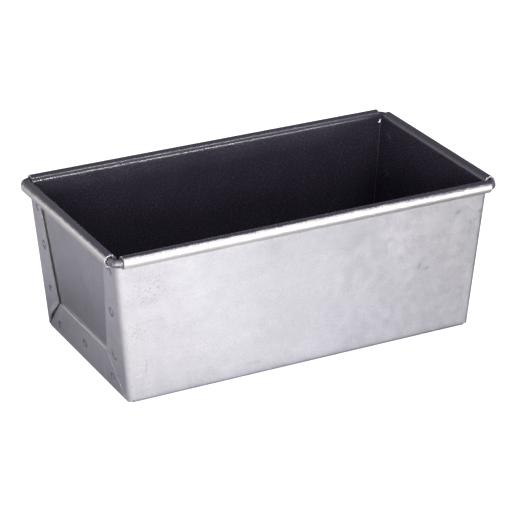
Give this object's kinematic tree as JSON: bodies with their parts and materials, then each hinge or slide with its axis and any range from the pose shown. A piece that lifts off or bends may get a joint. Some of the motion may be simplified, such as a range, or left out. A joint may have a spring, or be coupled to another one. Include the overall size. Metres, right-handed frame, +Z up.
{
  "type": "loaf pan",
  "caption": "Deep rectangular bread pan folded from sheet metal, with riveted end panels, a wire rolled into the rim and a dark non-stick inside.",
  "frame": {"origin": "middle of the floor's underside, on the table", "axes": "+X along the pan, +Y across it towards the rear long wall, +Z up out of the opening"},
  "size_m": [0.231, 0.1272, 0.0877],
  "materials": {
    "shell_sheet": "matt aluminised steel outside, dark speckled non-stick coating inside",
    "panel_sheet": "matt aluminised steel outside, dark speckled non-stick coating inside",
    "bare_wire": "dull mill-finish steel wire",
    "rivet_steel": "dull pressed steel"
  },
  "bodies": {
    "root": {"body_shell": "shell_sheet", "end_panel_left": "panel_sheet", "end_panel_right": "panel_sheet", "rim_wire": "bare_wire", "rivet_left_front_top": "rivet_steel", "rivet_left_front_middle": "rivet_steel", "rivet_left_front_bottom": "rivet_steel", "rivet_left_base_front": "rivet_steel", "rivet_left_base_middle": "rivet_steel", "rivet_left_base_rear": "rivet_steel", "rivet_left_rear_bottom": "rivet_steel", "rivet_left_rear_middle": "rivet_steel", "rivet_left_rear_top": "rivet_steel", "rivet_right_front_top": "rivet_steel", "rivet_right_front_middle": "rivet_steel", "rivet_right_front_bottom": "rivet_steel", "rivet_right_base_front": "rivet_steel", "rivet_right_base_middle": "rivet_steel", "rivet_right_base_rear": "rivet_steel", "rivet_right_rear_bottom": "rivet_steel", "rivet_right_rear_middle": "rivet_steel", "rivet_right_rear_top": "rivet_steel"}
  },
  "joints": []
}
